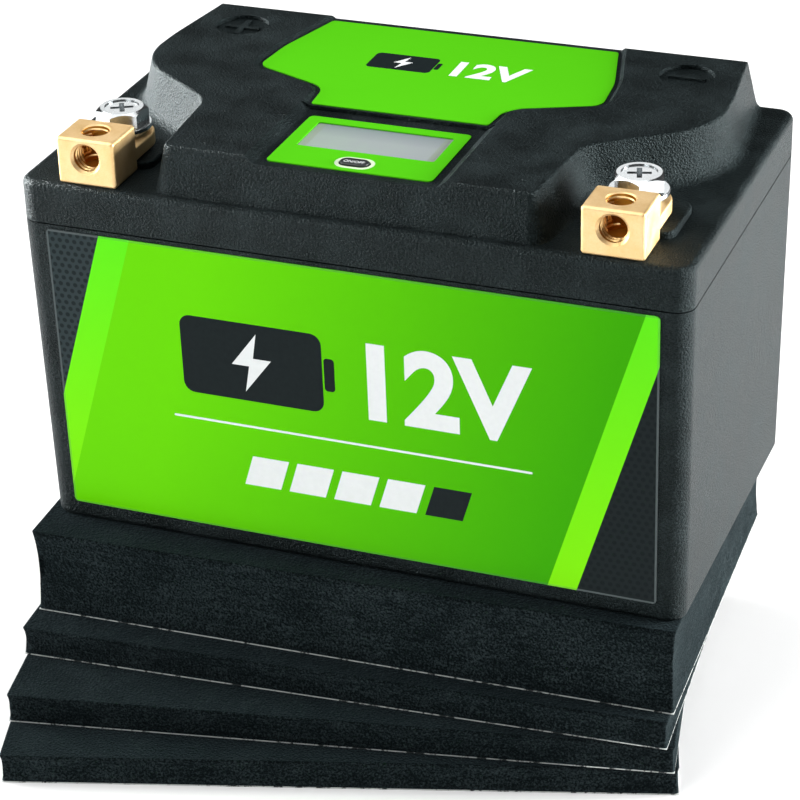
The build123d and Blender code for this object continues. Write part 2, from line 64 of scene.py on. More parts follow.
POLES = ("positive", "negative")


# --- Camera --------------------------------------------------------------------------------
CAMERA_PLACE = (0.20012, -0.51430, 0.36369)
CAMERA_YAW = -0.379667
CAMERA_PITCH = 0.499699
CAMERA_ROLL = -0.030962
SENSOR_WIDTH = 36.0
FOCAL_LENGTH = 122.956


def make_camera():
    level = math.cos(CAMERA_PITCH)
    forward = Vector((math.sin(CAMERA_YAW) * level, math.cos(CAMERA_YAW) * level, -math.sin(CAMERA_PITCH)))
    right = Vector((math.cos(CAMERA_YAW), -math.sin(CAMERA_YAW), 0.0))
    up = right.cross(forward)
    side = right * math.cos(CAMERA_ROLL) + up * math.sin(CAMERA_ROLL)
    top = up * math.cos(CAMERA_ROLL) - right * math.sin(CAMERA_ROLL)
    camera = bpy.data.cameras.new("camera")
    camera.sensor_width = SENSOR_WIDTH
    camera.lens = FOCAL_LENGTH
    camera.clip_start = 0.01
    camera.clip_end = 50.0
    holder = bpy.data.objects.new("camera", camera)
    turn = Matrix((side, top, -forward)).transposed().to_4x4()
    holder.matrix_world = Matrix.Translation(CAMERA_PLACE) @ turn
    bpy.context.scene.collection.objects.link(holder)
    bpy.context.scene.camera = holder


make_camera()


# --- Shader building -----------------------------------------------------------------------
class Field:
    """A value worked out over the surface, which ordinary arithmetic combines into new ones."""

    def __init__(self, tree, socket):
        self.tree = tree
        self.socket = socket

    def math(self, operation, *others):
        node = self.tree.nodes.new("ShaderNodeMath")
        node.operation = operation
        for place, value in enumerate((self, *others)):
            if isinstance(value, Field):
                self.tree.links.new(value.socket, node.inputs[place])
            else:
                node.inputs[place].default_value = value
        return Field(self.tree, node.outputs[0])

    def __add__(self, other):
        return self.math("ADD", other)

    def __sub__(self, other):
        return self.math("SUBTRACT", other)

    def __mul__(self, other):
        return self.math("MULTIPLY", other)

    def squared(self):
        return self * self

    def size(self):
        return self.math("ABSOLUTE")

    def lowest(self, other):
        return self.math("MINIMUM", other)

    def highest(self, other):
        return self.math("MAXIMUM", other)

    def clipped(self):
        return self.highest(0.0).lowest(1.0)

    def above(self, edge, softness):
        """1 where the value is over the edge and 0 where it is under, with a soft step between."""
        return ((self - edge) * (1.0 / softness) + 0.5).clipped()

    def below(self, edge, softness):
        return (self * -1.0).above(-edge, softness)

    def wrapped(self, period):
        """The distance to the nearest multiple of a period, with its sign."""
        return self.math("WRAP", period / 2, -period / 2)


class Paint:
    """One node material and the calls that fill it in."""

    def __init__(self, name):
        self.material = bpy.data.materials.new(name)
        self.material.use_nodes = True
        self.tree = self.material.node_tree
        self.shader = next(n for n in self.tree.nodes if n.type == "BSDF_PRINCIPLED")
        self.place = self.tree.nodes.new("ShaderNodeTexCoord").outputs["Object"]
        split = self.tree.nodes.new("ShaderNodeSeparateXYZ")
        self.tree.links.new(self.place, split.inputs[0])
        self.x, self.y, self.z = [Field(self.tree, socket) * 1000.0 for socket in split.outputs]

    def stretched(self, scales):
        node = self.tree.nodes.new("ShaderNodeMapping")
        node.inputs["Scale"].default_value = scales
        self.tree.links.new(self.place, node.inputs["Vector"])
        return node.outputs[0]

    def noise(self, size_mm, detail=2.0, roughness=0.5, scales=None, distortion=0.0):
        """Cloudy values round 0.5, whose features are about this many millimetres across."""
        node = self.tree.nodes.new("ShaderNodeTexNoise")
        node.inputs["Scale"].default_value = 1000.0 / size_mm
        node.inputs["Detail"].default_value = detail
        node.inputs["Roughness"].default_value = roughness
        node.inputs["Distortion"].default_value = distortion
        self.tree.links.new(self.stretched(scales) if scales else self.place, node.inputs["Vector"])
        return Field(self.tree, node.outputs["Fac"])

    def facing_up(self):
        """How far a surface faces up, from -1 to 1."""
        split = self.tree.nodes.new("ShaderNodeSeparateXYZ")
        self.tree.links.new(self.place.node.outputs["Normal"], split.inputs[0])
        return Field(self.tree, split.outputs["Z"])

    def cells(self, size_mm, feature="F1"):
        node = self.tree.nodes.new("ShaderNodeTexVoronoi")
        node.feature = feature
        node.inputs["Scale"].default_value = 1000.0 / size_mm
        self.tree.links.new(self.place, node.inputs["Vector"])
        return Field(self.tree, node.outputs["Distance"])

    def colour(self, first, second, share):
        """A mix of two colours, or of fields made by this call, by a share from 0 to 1."""
        node = self.tree.nodes.new("ShaderNodeMix")
        node.data_type = "RGBA"
        self.tree.links.new(share.socket, node.inputs["Factor"])
        for socket, value in ((node.inputs["A"], first), (node.inputs["B"], second)):
            target = [s for s in node.inputs if s.name == socket.name and s.type == "RGBA"][0]
            if isinstance(value, Field):
                self.tree.links.new(value.socket, target)
            else:
                target.default_value = (*value, 1.0)
        return Field(self.tree, [s for s in node.outputs if s.type == "RGBA"][0])

    def base(self, colour):
        self.tree.links.new(colour.socket, self.shader.inputs["Base Color"])

    def rough(self, field):
        self.tree.links.new(field.socket, self.shader.inputs["Roughness"])

    def metal(self, amount=1.0):
        self.shader.inputs["Metallic"].default_value = amount

    def bump(self, height, depth_mm, strength=1.0):
        node = self.tree.nodes.new("ShaderNodeBump")
        node.inputs["Strength"].default_value = strength
        node.inputs["Distance"].default_value = depth_mm * MM
        self.tree.links.new(height.socket, node.inputs["Height"])
        self.tree.links.new(node.outputs[0], self.shader.inputs["Normal"])


# --- Materials -----------------------------------------------------------------------------
def moulded_plastic(name, dark, light, grain_mm, depth_mm, roughness):
    """Spark-textured moulded plastic, with a fine leathery grain and slight mottling."""
    paint = Paint(name)
    fine = paint.noise(grain_mm, detail=3.0, roughness=0.6, distortion=0.4)
    pebbles = paint.cells(grain_mm * 1.5, "SMOOTH_F1")
    mottling = paint.noise(9.0, detail=4.0)
    paint.base(paint.colour(dark, light, (fine * 0.7 + mottling * 0.3).above(0.54, 0.24)))
    paint.rough((mottling - 0.5) * 0.12 + (fine - 0.5) * 0.25 + roughness)
    paint.bump(fine * 0.7 + pebbles * 0.5, depth_mm)
    paint.shader.inputs["IOR"].default_value = 1.22
    paint.shader.inputs["Specular Tint"].default_value = (0.70, 0.98, 1.0, 1.0)
    return paint.material


def plain_plastic(name, dark, light, roughness):
    """Smooth moulded plastic with faint flow marks."""
    paint = Paint(name)
    flow = paint.noise(2.5, detail=4.0, scales=(1.0, 0.35, 0.6))
    paint.base(paint.colour(dark, light, flow))
    paint.rough((flow - 0.5) * 0.2 + roughness)
    paint.bump(paint.noise(0.4, detail=2.0), 0.01)
    return paint.material


def worked_metal(name, dark, light, roughness, streak_mm, depth_mm, scales=(1.0, 1.0, 1.0)):
    """Bare metal with fine working marks and cloudy tarnish."""
    paint = Paint(name)
    marks = paint.noise(streak_mm, detail=4.0, roughness=0.6, scales=scales)
    cloud = paint.noise(4.0, detail=3.0)
    paint.base(paint.colour(dark, light, (marks * 0.4 + cloud * 0.6).above(0.5, 0.4)))
    paint.rough((marks - 0.5) * 0.3 + (cloud - 0.5) * 0.2 + roughness)
    paint.metal()
    paint.bump(marks, depth_mm)
    return paint.material


def block_brass_material():
    """Machined brass, darker inside the two threaded bores in painted shade."""
    paint = Paint("block_brass")
    marks = paint.noise(0.35, detail=4.0, roughness=0.6)
    cloud = paint.noise(4.0, detail=3.0)
    bright = paint.colour((0.86, 0.57, 0.24), (0.98, 0.75, 0.43), (marks * 0.4 + cloud * 0.6).above(0.5, 0.4))
    across = (paint.x.size() - BLOCK_AXIS_X).squared()
    from_front = (across + (paint.z - FRONT_BORE_Z).squared()).math("SQRT")
    from_top = (across + (paint.y - TOP_BORE_Y).squared()).math("SQRT")
    bore_reach, soft = 3.05, 0.1
    front_start, front_end = BLOCK_LOW.y + 0.6, BLOCK_LOW.y + 9.2
    top_start, top_end = BLOCK_HIGH.z - 0.3, BLOCK_HIGH.z - 8.2
    in_front = from_front.below(bore_reach, soft / 2).lowest(paint.y.above(front_start, soft))
    in_front = in_front.lowest(paint.y.below(front_end, soft))
    in_top = from_top.below(bore_reach, soft / 2).lowest(paint.z.below(top_start, soft))
    in_top = in_top.lowest(paint.z.above(top_end, soft))
    # Painted shade inside the bores: darker, deeper orange brass on the bores' walls.
    bore_shade = paint.colour((0.40, 0.17, 0.015), (0.66, 0.33, 0.05), cloud)
    paint.base(paint.colour(bright, bore_shade, in_front.highest(in_top)))
    paint.rough((marks - 0.5) * 0.3 + (cloud - 0.5) * 0.2 + 0.52)
    paint.metal()
    paint.bump(marks, 0.02)
    return paint.material


def foam(name, dark, light, cell_mm, depth_mm):
    """Closed-cell foam, darker on its upward faces in painted shade, cut so that cells and fine crumbs show
    at the sides.
    """
    paint = Paint(name)
    open_cells = paint.cells(cell_mm)
    crumbs = paint.noise(cell_mm * 0.8, detail=3.0, roughness=0.7)
    drag = paint.noise(cell_mm * 3.0, detail=3.0, scales=(0.25, 0.25, 1.6))
    cloud = paint.noise(14.0, detail=3.0)
    share = crumbs * 0.7 + drag * 0.15 + cloud * 0.15
    # Painted shade: upward faces get fewer pale speckles, so they read darker.
    painted_top_shade = paint.facing_up().above(0.8, 0.2)
    speckle = share.above(0.55, 0.16) * (painted_top_shade * -0.55 + 1.0)
    paint.base(paint.colour(dark, light, speckle))
    paint.rough((crumbs - 0.5) * 0.2 + 0.9)
    paint.bump(open_cells * 0.5 + crumbs * 0.6 + drag * 0.15, depth_mm)
    paint.shader.inputs["IOR"].default_value = 1.15
    paint.shader.inputs["Specular Tint"].default_value = (0.55, 0.90, 1.0, 1.0)
    paint.shader.inputs["Sheen Weight"].default_value = 0.06
    paint.shader.inputs["Sheen Tint"].default_value = (0.60, 0.90, 1.0, 1.0)
    paint.shader.inputs["Sheen Roughness"].default_value = 0.5
    return paint.material


def liner_paper_material():
    """White release paper with black foam crumbs caught along it."""
    paint = Paint("liner_paper")
    fibres = paint.noise(0.5, detail=5.0, roughness=0.7, scales=(0.5, 1.0, 1.0))
    crumbs = paint.noise(3.0, detail=5.0, roughness=0.75)
    white = paint.colour((0.45, 0.48, 0.47), (0.80, 0.83, 0.81), fibres)
    paint.base(paint.colour(white, (0.02, 0.025, 0.026), crumbs.above(0.55, 0.07)))
    paint.rough((fibres - 0.5) * 0.2 + 0.55)
    paint.bump(fibres, 0.02)
    return paint.material


def paper(name, dark, light, roughness):
    paint = Paint(name)
    fibres = paint.noise(0.5, detail=5.0, roughness=0.7, scales=(0.5, 1.0, 1.0))
    paint.base(paint.colour(dark, light, fibres))
    paint.rough((fibres - 0.5) * 0.2 + roughness)
    paint.bump(fibres, 0.02)
    return paint.material


# The negative block and its bores, in millimetres. The positive block mirrors it across X = 0.
BLOCK_LOW, BLOCK_HIGH = [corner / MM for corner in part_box("negative_terminal_block")]
BLOCK_AXIS_X = (BLOCK_LOW.x + BLOCK_HIGH.x) / 2
FRONT_BORE_BELOW_TOP = 4.4
TOP_BORE_BEHIND_FRONT = 5.7
FRONT_BORE_Z = BLOCK_HIGH.z - FRONT_BORE_BELOW_TOP
TOP_BORE_Y = BLOCK_LOW.y + TOP_BORE_BEHIND_FRONT

# Each line of the front label's print leans by this much sideways for each millimetre up.
PRINT_LEAN = 0.308
STACK_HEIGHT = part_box("case")[0].z / MM
LABEL_LOW, LABEL_HIGH = [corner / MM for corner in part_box("front_label")]
FRONT_EDGES = (-78.8, -71.5, 43.2, 49.7)  # where the slanting bands start and end at the case's base
SLATE_DOTS = (0.007, 0.010, 0.011)
SLATE = (0.030, 0.043, 0.046)
SLATE_SHADED = (0.012, 0.017, 0.018)
GREEN_BRIGHT = (0.098, 0.745, 0.011)
GREEN_MAIN = (0.128, 0.625, 0.001)
# The green under painted shade, at the label's right and bottom.
GREEN_SHADED = (0.040, 0.355, 0.0005)


def dot_grid(across, up, pitch):
    """The distance to the nearest point of a hexagonal grid."""
    tall = pitch * math.sqrt(3.0)
    first = across.wrapped(pitch).squared() + up.wrapped(tall).squared()
    second = (across + pitch / 2).wrapped(pitch).squared() + (up + tall / 2).wrapped(tall).squared()
    return first.lowest(second).math("SQRT")


def ink(name, dark, light):
    """Flat printing ink, very slightly uneven."""
    paint = label_film(name)
    paint.base(paint.colour(dark, light, paint.noise(1.2, detail=4.0)))
    return paint.material


def label_film(name):
    """Glossy film with a faint orange-peel ripple."""
    paint = Paint(name)
    ripple = paint.noise(3.0, detail=2.0)
    paint.rough((ripple - 0.5) * 0.08 + 0.3)
    paint.bump(ripple, 0.012)
    paint.shader.inputs["IOR"].default_value = 1.24
    paint.shader.inputs["Specular IOR Level"].default_value = 0.12
    return paint


def front_label_material():
    """Green field between two lighter slanting bands, with dotted slate corners and a thin border, and
    painted shade that darkens the green and the slate towards the right.
    """
    paint = label_film("front_label_print")
    height = paint.z - STACK_HEIGHT
    lean = paint.x - height * PRINT_LEAN
    sharp = 0.12
    # Painted shade: the green darkens towards the right and towards the bottom.
    down_right = (paint.x * 0.0105 + 0.43 - (height - 39.0) * 0.003).clipped()
    green = paint.colour(GREEN_MAIN, GREEN_SHADED, down_right)
    speckle = paint.noise(0.35, detail=2.0)
    dots = dot_grid(paint.x, height, 1.75).below(0.52, 0.25)
    slate_ground = paint.colour(SLATE, SLATE_SHADED, (paint.x * 0.012 + 0.5).clipped())
    slate = paint.colour(slate_ground, SLATE_DOTS, dots * 0.7 + (speckle - 0.5) * 0.2)
    band_share = (height * 0.012).clipped()
    band = paint.colour((0.215, 0.780, 0.003), GREEN_BRIGHT, band_share)
    in_band = lean.below(FRONT_EDGES[1], sharp).highest(lean.above(FRONT_EDGES[2], sharp))
    in_slate = lean.below(FRONT_EDGES[0], sharp).highest(lean.above(FRONT_EDGES[3], sharp))
    face = paint.colour(paint.colour(green, band, in_band), slate, in_slate)
    middle = (LABEL_LOW.z + LABEL_HIGH.z) / 2
    half_height = (LABEL_HIGH.z - LABEL_LOW.z) / 2
    edge = (paint.x.size() - LABEL_HIGH.x).highest((paint.z - middle).size() - half_height)
    border = edge.above(-0.45, 0.1) * in_slate.highest(0.25)
    paint.base(paint.colour(face, (0.080, 0.098, 0.100), border))
    return paint.material


def top_label_material():
    """Green film, a little darker towards the back right in painted shade."""
    paint = label_film("top_label_print")
    # Painted shade: the green darkens towards the back right.
    share = (paint.x * 0.006 + paint.y * 0.012 + 0.25).clipped()
    cloud = paint.noise(22.0, detail=2.0)
    share = (share + (cloud - 0.5) * 0.3).clipped()
    paint.base(paint.colour((0.086, 0.530, 0.007), (0.072, 0.450, 0.005), share))
    return paint.material


BUTTON_LOW, BUTTON_HIGH = [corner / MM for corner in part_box("on_off_button")]
BUTTON_MIDDLE_Y = (BUTTON_LOW.y + BUTTON_HIGH.y) / 2
PILL_HALF_STRAIGHT = 1.6
PILL_RADIUS = 2.75


def pill_distance(paint):
    """The distance from the line along the middle of the button's pill shape."""
    along = (paint.x.size() - PILL_HALF_STRAIGHT).highest(0.0)
    return (along.squared() + (paint.y - BUTTON_MIDDLE_Y).squared()).math("SQRT")


def overlay_material():
    """Green frame with a pale pill round the button."""
    paint = label_film("overlay_print")
    # Painted shade: the green darkens towards the right.
    share = (paint.x * 0.02 + 0.4).clipped()
    green = paint.colour((0.086, 0.545, 0.008), (0.076, 0.485, 0.007), share)
    pale = pill_distance(paint).below(PILL_RADIUS, 0.15)
    paint.base(paint.colour(green, (0.66, 0.80, 0.56), pale))
    return paint.material


# The screen, in millimetres: where its tint is measured from, and where the shade at its back and
# the strips at its ends come in.
SCREEN_TINT_Y = -22.0
SCREEN_SHADE_Y = -18.6
SCREEN_STRIP_X = 13.6


def screen_material():
    """Matte reflective display without a reading, shaded at the back and with olive strips at both ends."""
    paint = Paint("screen_glass")
    cloud = paint.noise(5.0, detail=4.0, roughness=0.6)
    grain = paint.noise(0.25, detail=2.0)
    share = (paint.x * 0.02 + (paint.y - SCREEN_TINT_Y) * 0.02 + 0.45 + (cloud - 0.5) * 0.9).clipped()
    glass = paint.colour((0.33, 0.41, 0.36), (0.33, 0.34, 0.38), share)
    glass = paint.colour(glass, (0.18, 0.23, 0.24), paint.y.above(SCREEN_SHADE_Y, 6.5) * 0.8)
    paint.base(paint.colour(glass, (0.25, 0.31, 0.20), paint.x.size().above(SCREEN_STRIP_X, 0.3) * 0.5))
    paint.rough((grain - 0.5) * 0.2 + 0.42)
    paint.bump(grain, 0.01)
    return paint.material


def circuit_board_material():
    """Solder mask with faint copper tracks under it."""
    paint = Paint("circuit_board")
    tracks = (paint.x + paint.noise(6.0) * 4.0).wrapped(2.4).size().below(0.35, 0.1)
    weave = paint.noise(0.6, detail=3.0)
    paint.base(paint.colour((0.008, 0.090, 0.035), (0.030, 0.200, 0.080), tracks * 0.7 + (weave - 0.5) * 0.4))
    paint.rough((weave - 0.5) * 0.2 + 0.35)
    paint.bump(tracks, 0.03)
    return paint.material


BLACK_PLASTIC = ((0.0012, 0.0020, 0.0022), (0.0200, 0.0275, 0.0288))
HOLDER_PLASTIC = ((0.02, 0.02, 0.02), (0.045, 0.045, 0.045))
SPARK_TEXTURE = (0.33, 0.42, 0.40)  # grain size and depth in millimetres, and roughness
DRAWN = (0.3, 1.0, 1.0)  # stretches a metal's working marks along X

materials = {
    "case_plastic": moulded_plastic("case_plastic", *BLACK_PLASTIC, *SPARK_TEXTURE),
    "lid_plastic": moulded_plastic("lid_plastic", *BLACK_PLASTIC, *SPARK_TEXTURE),
    "screen": screen_material(),
    "circuit_board": circuit_board_material(),
    "chip_plastic": plain_plastic("chip_plastic", (0.010, 0.010, 0.011), (0.022, 0.022, 0.024), 0.5),
    "button_plastic": plain_plastic("button_plastic", (0.014, 0.017, 0.018), (0.030, 0.034, 0.036), 0.38),
    "brass": worked_metal("brass", (0.88, 0.63, 0.24), (0.99, 0.82, 0.43), 0.5, 0.35, 0.012),
    "zinc_steel": worked_metal("zinc_steel", (0.46, 0.49, 0.50), (0.80, 0.83, 0.84), 0.20, 0.6, 0.005),
    "steel": worked_metal("steel", (0.45, 0.45, 0.46), (0.66, 0.66, 0.67), 0.35, 0.4, 0.01),
    "copper": worked_metal("copper", (0.70, 0.28, 0.14), (0.93, 0.48, 0.30), 0.3, 0.4, 0.01, DRAWN),
    "nickel": worked_metal("nickel", (0.50, 0.48, 0.44), (0.76, 0.74, 0.70), 0.28, 0.5, 0.008, DRAWN),
    "cell_sleeve": plain_plastic("cell_sleeve", (0.010, 0.060, 0.230), (0.020, 0.100, 0.330), 0.3),
    "holder_plastic": moulded_plastic("holder_plastic", *HOLDER_PLASTIC, 0.8, 0.03, 0.5),
    "insulation_sheet": paper("insulation_sheet", (0.62, 0.58, 0.42), (0.80, 0.76, 0.60), 0.6),
    "cable_plastic": plain_plastic("cable_plastic", (0.60, 0.60, 0.58), (0.80, 0.80, 0.77), 0.45),
    "cushion_foam": foam("cushion_foam", (0.020, 0.020, 0.020), (0.075, 0.075, 0.075), 0.9, 0.25),
    "spacer_foam": foam("spacer_foam", (0.0008, 0.0013, 0.0015), (0.024, 0.033, 0.035), 0.62, 0.3),
    "brass_threads": worked_metal("brass_threads", (0.80, 0.50, 0.18), (0.98, 0.74, 0.38), 0.34, 0.35, 0.008),
    "ink_dark": ink("ink_dark", (0.008, 0.012, 0.013), (0.014, 0.020, 0.021)),
    "ink_pale": ink("ink_pale", (0.70, 0.73, 0.73), (0.78, 0.81, 0.81)),
    "liner_paper": liner_paper_material(),
}
own_materials = {
    "positive_terminal_block": block_brass_material(),
    "negative_terminal_block": block_brass_material(),
    "front_label": front_label_material(),
    "top_label": top_label_material(),
    "display_overlay": overlay_material(),
}
for part in frame["record"]["subparts"]:
    name = part["node"]
    finish = own_materials.get(name) or materials[part["material_slot"]]
    slots = nodes[name].data.materials
    slots.clear()
    slots.append(finish)


# --- Foam pieces ---------------------------------------------------------------------------
SLAB_CORNER_RADIUS = 0.7 * MM
OUTLINE_STEP = 1.6 * MM
ROW_HEIGHT = 1.3 * MM
FEWEST_ROWS = 6
EDGE_RISE = 0.35  # a soft edge's height as a share of its width
WAVES_PER_METRE = 90.0
GRIT_PER_METRE = 700.0


def slab_axes(node):
    """A turned slab's front left lower corner and its two level edges, from its CAD mesh."""
    points = [v.co for v in nodes[node].data.vertices]
    nudge = 0.01  # settles which corner is meant when an edge is square to an axis
    front = min(points, key=lambda p: p.y + nudge * p.x + nudge * p.z)
    right = max(points, key=lambda p: p.x - nudge * p.y - nudge * p.z)
    left = min(points, key=lambda p: p.x - nudge * p.y + nudge * p.z)
    return front.copy(), right - front, left - front


def rounded_loop(length, width, radius, step):
    """Points round a rounded rectangle from 0,0 to length,width, each with its outward direction."""
    loop = []
    corners = [(length - radius, radius, -90), (length - radius, width - radius, 0)]
    corners += [(radius, width - radius, 90), (radius, radius, 180)]
    for index, (x, y, start) in enumerate(corners):
        for turn in (0, 30, 60, 90):
            angle = math.radians(start + turn)
            out = Vector((math.cos(angle), math.sin(angle)))
            loop.append((Vector((x, y)) + out * radius, out))
        after = corners[(index + 1) % 4]
        span = (length if index % 2 else width) - 2 * radius
        out = loop[-1][1]
        tip = loop[-1][0]
        along = Vector((-out.y, out.x))
        count = max(1, round(span / step))
        loop += [(tip + along * span * k / count, out) for k in range(1, count)]
    return loop


def foam_slab(name, node, body, hollow_mm, edge_mm, seed):
    """A cut foam slab inside its CAD solid: sides drawn in between soft edges, with small knife wobbles."""
    corner, along, across = slab_axes(node)
    low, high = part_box(node)
    length, width = along.length, across.length
    right, back = along.normalized(), across.normalized()
    height = high.z - low.z
    loop = rounded_loop(length, width, SLAB_CORNER_RADIUS, OUTLINE_STEP)
    rows = max(FEWEST_ROWS, round(height / ROW_HEIGHT))
    edge = edge_mm * MM
    # Each ring has a share of the height, a rise from it and an inset.
    rings = [(0.0, 0.0, edge), (0.0, EDGE_RISE * edge, 0.0)]
    rings += [(k / rows, 0.0, 0.0) for k in range(1, rows)]
    rings += [(1.0, -EDGE_RISE * edge, 0.0), (1.0, 0.0, edge)]
    first = Vector((seed * 7.3, seed * 3.1, seed * 1.7))
    points = []
    for share, rise, inset in rings:
        draw = hollow_mm * MM * math.sin(math.pi * share) ** 0.8
        for place, out in loop:
            spot = corner + right * place.x + back * place.y
            wave = noise.noise(Vector((spot.x, spot.y, share * 0.02)) * WAVES_PER_METRE + first)
            grit = noise.noise(Vector((spot.x, spot.y, share * height)) * GRIT_PER_METRE + first)
            depth = inset + draw * (1.0 + 0.5 * wave)
            if 0 < share < 1:
                depth += (0.05 + 0.05 * wave + 0.06 * grit) * MM
            spot -= (right * out.x + back * out.y) * depth
            points.append((spot.x, spot.y, low.z + share * height + rise))
    count = len(loop)
    faces = []
    for ring in range(len(rings) - 1):
        for k in range(count):
            after = (k + 1) % count
            low_ring, high_ring = ring * count, (ring + 1) * count
            faces.append((low_ring + k, low_ring + after, high_ring + after, high_ring + k))
    faces.append(tuple(reversed(range(count))))
    faces.append(tuple(range((len(rings) - 1) * count, len(rings) * count)))
    slab = mesh_object(name, points, faces, smooth=True)
    for cap in list(slab.data.polygons)[-2:]:
        cap.use_smooth = False
    return dress(slab, materials["spacer_foam" if "spacer" in node else "cushion_foam"], body, node)


def dress(shape, finish, body, *stands_for):
    """Gives a new piece its material and body, and hides the CAD nodes that it stands for."""
    shape.data.materials.append(finish)
    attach(shape, body)
    if stands_for:
        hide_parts(*stands_for)
    return shape


def mesh_object(name, points, faces, smooth=False):
    mesh = bpy.data.meshes.new(name)
    mesh.from_pydata([tuple(p) for p in points], [], faces)
    mesh.update()
    for polygon in mesh.polygons:
        polygon.use_smooth = smooth
    shape = bpy.data.objects.new(name, mesh)
    bpy.context.scene.collection.objects.link(shape)
    return shape


# How far cut sides are drawn in at half their height, before the knife's wobbles, and how wide
# their soft edges are, in millimetres.
SPACER_HOLLOWS = (0.55, 0.35, 0.35, 0.35)
SPACER_EDGE = 0.35
CUSHION_HOLLOW = 0.3
CUSHION_EDGE = 0.3
FIRST_CUSHION_SEED = 10

for number, hollow in enumerate(SPACER_HOLLOWS, start=1):
    node, body = f"foam_spacer_{number}", f"spacer_{number}"
    slab = foam_slab(f"cut_{node}", node, body, hollow, SPACER_EDGE, number)
for number, side in enumerate(("front", "back", "left", "right"), start=FIRST_CUSHION_SEED):
    node = f"{side}_cushion"
    slab = foam_slab(f"cut_{node}", node, "battery", CUSHION_HOLLOW, CUSHION_EDGE, number)


# --- Threads in the terminal blocks --------------------------------------------------------
THREAD_PITCH = 1.0 * MM
BORE_RADIUS = 3.0 * MM
CREST_RADIUS = 2.78 * MM
SEAT_RADIUS = 3.02 * MM  # sunk into the bore's wall, so that no gap shows
SEAT_SHARE = 0.30  # half the ridge's width at the wall, as a share of the pitch
CREST_SHARE = 0.08  # half its width at the crest, as a share of the pitch
STEPS_PER_TURN = 28
FRONT_RIM = 0.6 * MM
TOP_RIM = 0.25 * MM
FRONT_THREAD_DEPTH = 7.2 * MM
TOP_THREAD_DEPTH = 6.4 * MM
CROSSING_RADIUS = 0.93 * BORE_RADIUS


def thread_ridge(name, mouth, inward, depth, finish, crossing):
    """A helical ridge round a bore's wall, left out where another bore crosses it."""
    inward = Vector(inward)
    side = inward.orthogonal().normalized()
    up = inward.cross(side)
    half_seat, half_crest = SEAT_SHARE * THREAD_PITCH, CREST_SHARE * THREAD_PITCH
    profile = [(SEAT_RADIUS, -half_seat), (CREST_RADIUS, -half_crest)]
    profile += [(CREST_RADIUS, half_crest), (SEAT_RADIUS, half_seat)]
    total = int(depth / THREAD_PITCH * STEPS_PER_TURN)
    points, faces = [], []
    runs, run = [], []
    for step in range(total + 1):
        angle = 2 * math.pi * step / STEPS_PER_TURN
        out = side * math.cos(angle) + up * math.sin(angle)
        middle = Vector(mouth) + inward * (depth * step / total)
        if crossing(middle + out * CREST_RADIUS):
            if len(run) > 1:
                runs.append(run)
            run = []
            continue
        run.append([middle + out * radius + inward * shift for radius, shift in profile])
    if len(run) > 1:
        runs.append(run)
    for run in runs:
        start = len(points)
        for section in run:
            points += section
        for k in range(len(run) - 1):
            for edge in range(4):
                a, b = start + 4 * k + edge, start + 4 * k + (edge + 1) % 4
                faces.append((a, b, b + 4, a + 4))
        faces.append((start + 3, start + 2, start + 1, start))
        last = start + 4 * (len(run) - 1)
        faces.append((last, last + 1, last + 2, last + 3))
    ridge = mesh_object(name, points, faces)
    return dress(ridge, finish, "battery")


def cut_threads(pole):
    low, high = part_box(f"{pole}_terminal_block")
    axis_x = (low.x + high.x) / 2
    front_z = FRONT_BORE_Z * MM
    top_y = TOP_BORE_Y * MM

    def in_top_bore(p):
        return math.hypot(p.x - axis_x, p.y - top_y) < CROSSING_RADIUS

    def in_front_bore(p):
        return math.hypot(p.x - axis_x, p.z - front_z) < CROSSING_RADIUS

    brass = materials["brass_threads"]
    mouth = (axis_x, low.y + FRONT_RIM + THREAD_PITCH / 2, front_z)
    thread_ridge(f"{pole}_front_thread_ridge", mouth, (0, 1, 0), FRONT_THREAD_DEPTH, brass, in_top_bore)
    mouth = (axis_x, top_y, high.z - TOP_RIM - THREAD_PITCH / 2)
    thread_ridge(f"{pole}_top_thread_ridge", mouth, (0, 0, -1), TOP_THREAD_DEPTH, brass, in_front_bore)


for pole in POLES:
    cut_threads(pole)


# --- Printing ------------------------------------------------------------------------------
INK_THICKNESS = 0.02 * MM


def print_plane(node, facing):
    """A frame on a label's outer face: X along the label, Y up it, Z out of it, from its middle."""
    facing = Vector(facing)
    mesh = nodes[node].data
    face = max(mesh.polygons, key=lambda p: p.normal.dot(facing) * p.area)
    normal = face.normal.copy()
    low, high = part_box(node)
    middle = (low + high) / 2
    middle += normal * (mesh.vertices[face.vertices[0]].co - middle).dot(normal)
    along = Vector((1, 0, 0))
    up = normal.cross(along).normalized()
    turn = Matrix((along, up, normal)).transposed().to_4x4()
    return Matrix.Translation(middle) @ turn


def printed(name, outlines, plane, finish):
    """Flat inked shapes in millimetres on a printing plane, each a closed outline."""
    built = bmesh.new()
    for outline in outlines:
        lower = [built.verts.new((x * MM, y * MM, 0.0)) for x, y in outline]
        face = built.faces.new(lower)
        if face.normal.z < 0:
            face.normal_flip()
        raised = bmesh.ops.extrude_face_region(built, geom=[face])["geom"]
        upper = [v for v in raised if isinstance(v, bmesh.types.BMVert)]
        bmesh.ops.translate(built, verts=upper, vec=(0, 0, INK_THICKNESS))
    bmesh.ops.recalc_face_normals(built, faces=built.faces)
    built.verts.index_update()
    points = [v.co.copy() for v in built.verts]
    # Extruding leaves the faces in an order that changes from run to run, so they are sorted.
    faces = sorted([v.index for v in face.verts] for face in built.faces)
    built.free()
    shape = mesh_object(name, points, faces)
    shape.data.transform(plane)
    return dress(shape, finish, "battery")


